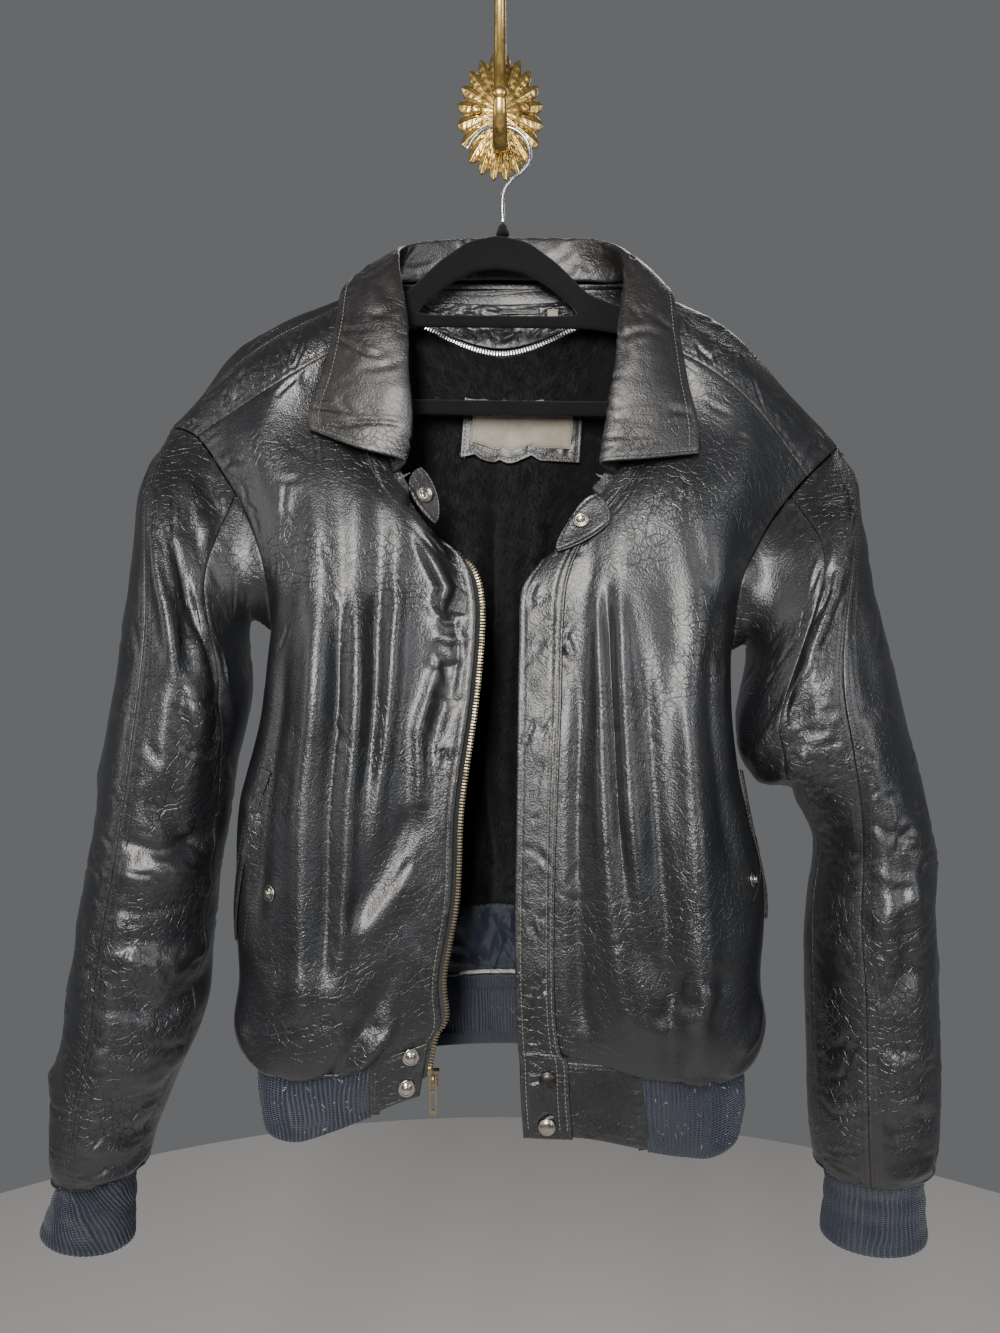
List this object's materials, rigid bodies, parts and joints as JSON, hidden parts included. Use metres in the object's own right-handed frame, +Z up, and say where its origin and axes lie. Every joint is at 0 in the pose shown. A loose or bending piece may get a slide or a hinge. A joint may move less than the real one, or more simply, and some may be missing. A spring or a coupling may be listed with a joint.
{
  "type": "leather coat on a hanger and wall hook",
  "caption": "Short worn black leather coat with rib knit hem and cuffs, hanging open on a flocked hanger in a brass leaf wall hook.",
  "frame": {"origin": "centre of the flat back of the brass plate, where it meets the wall", "axes": "+Z up, +Y out of the plate's back into the wall, +X to the right of someone who faces the coat; +Z is also the longest extent"},
  "size_m": [0.6963, 0.1469, 1.0063],
  "materials": {
    "black_leather": "worn, glossy, pebbled, scuffed along folds and seams",
    "navy_knit": "matte rib knit, faded",
    "black_pile": "deep matte pile, matted by wear",
    "navy_nylon": "smooth woven lining with a soft shine",
    "black_flock": "velvet flocking",
    "black_tape": "woven tape",
    "cream_cloth": "woven cloth, aged",
    "zip_brass": "antique, rubbed bright on edges",
    "snap_nickel": "nickel, slightly tarnished",
    "hook_wire": "bright",
    "hook_brass": "cast, aged, darker in its hollows"
  },
  "bodies": {
    "coat": {"front_left": "black_leather", "front_right": "black_leather", "back": "black_leather", "yoke_left": "black_leather", "yoke_right": "black_leather", "sleeve_left_front": "black_leather", "sleeve_left_under": "black_leather", "sleeve_left_outer": "black_leather", "sleeve_right_front": "black_leather", "sleeve_right_under": "black_leather", "sleeve_right_outer": "black_leather", "collar": "black_leather", "throat_tab_left": "black_leather", "throat_tab_right": "black_leather", "storm_flap": "black_leather", "hem_tab_left": "black_leather", "hem_tab_right": "black_leather", "neck_facing": "black_leather", "hanging_loop": "black_leather", "patch_frame": "black_leather", "pocket_welt_left": "black_leather", "pocket_welt_right": "black_leather", "waist_rib": "navy_knit", "cuff_left": "navy_knit", "cuff_right": "navy_knit", "pile_lining": "black_pile", "nylon_hem_lining": "navy_nylon", "zip_tape_left": "black_tape", "zip_tape_right": "black_tape", "liner_zip_tape": "black_tape", "patch_field": "cream_cloth", "neck_tab_left": "cream_cloth", "neck_tab_right": "cream_cloth", "zip_slider": "zip_brass", "snap_pocket_left": "snap_nickel", "snap_pocket_right": "snap_nickel", "snap_hem_left_top": "snap_nickel", "snap_hem_left_low": "snap_nickel", "snap_flap_top": "snap_nickel", "snap_flap_low": "snap_nickel", "snap_throat_left": "snap_nickel", "snap_throat_right": "snap_nickel", "hanger": "black_flock", "hanger_ferrule": "black_flock", "hanger_wire": "hook_wire", "wall_hook": "hook_brass", "screw_left": "hook_brass", "screw_right": "hook_brass"},
    "zip_pull": {"zip_pull": "zip_brass"}
  },
  "joints": [
    {"name": "pull_tab_swing", "type": "hinge", "parent": "coat", "child": "zip_pull", "pos_m": [-0.0488, -0.11925, -0.7693], "axis": [-1, 0, 0], "range_deg": [0, 150]}
  ]
}
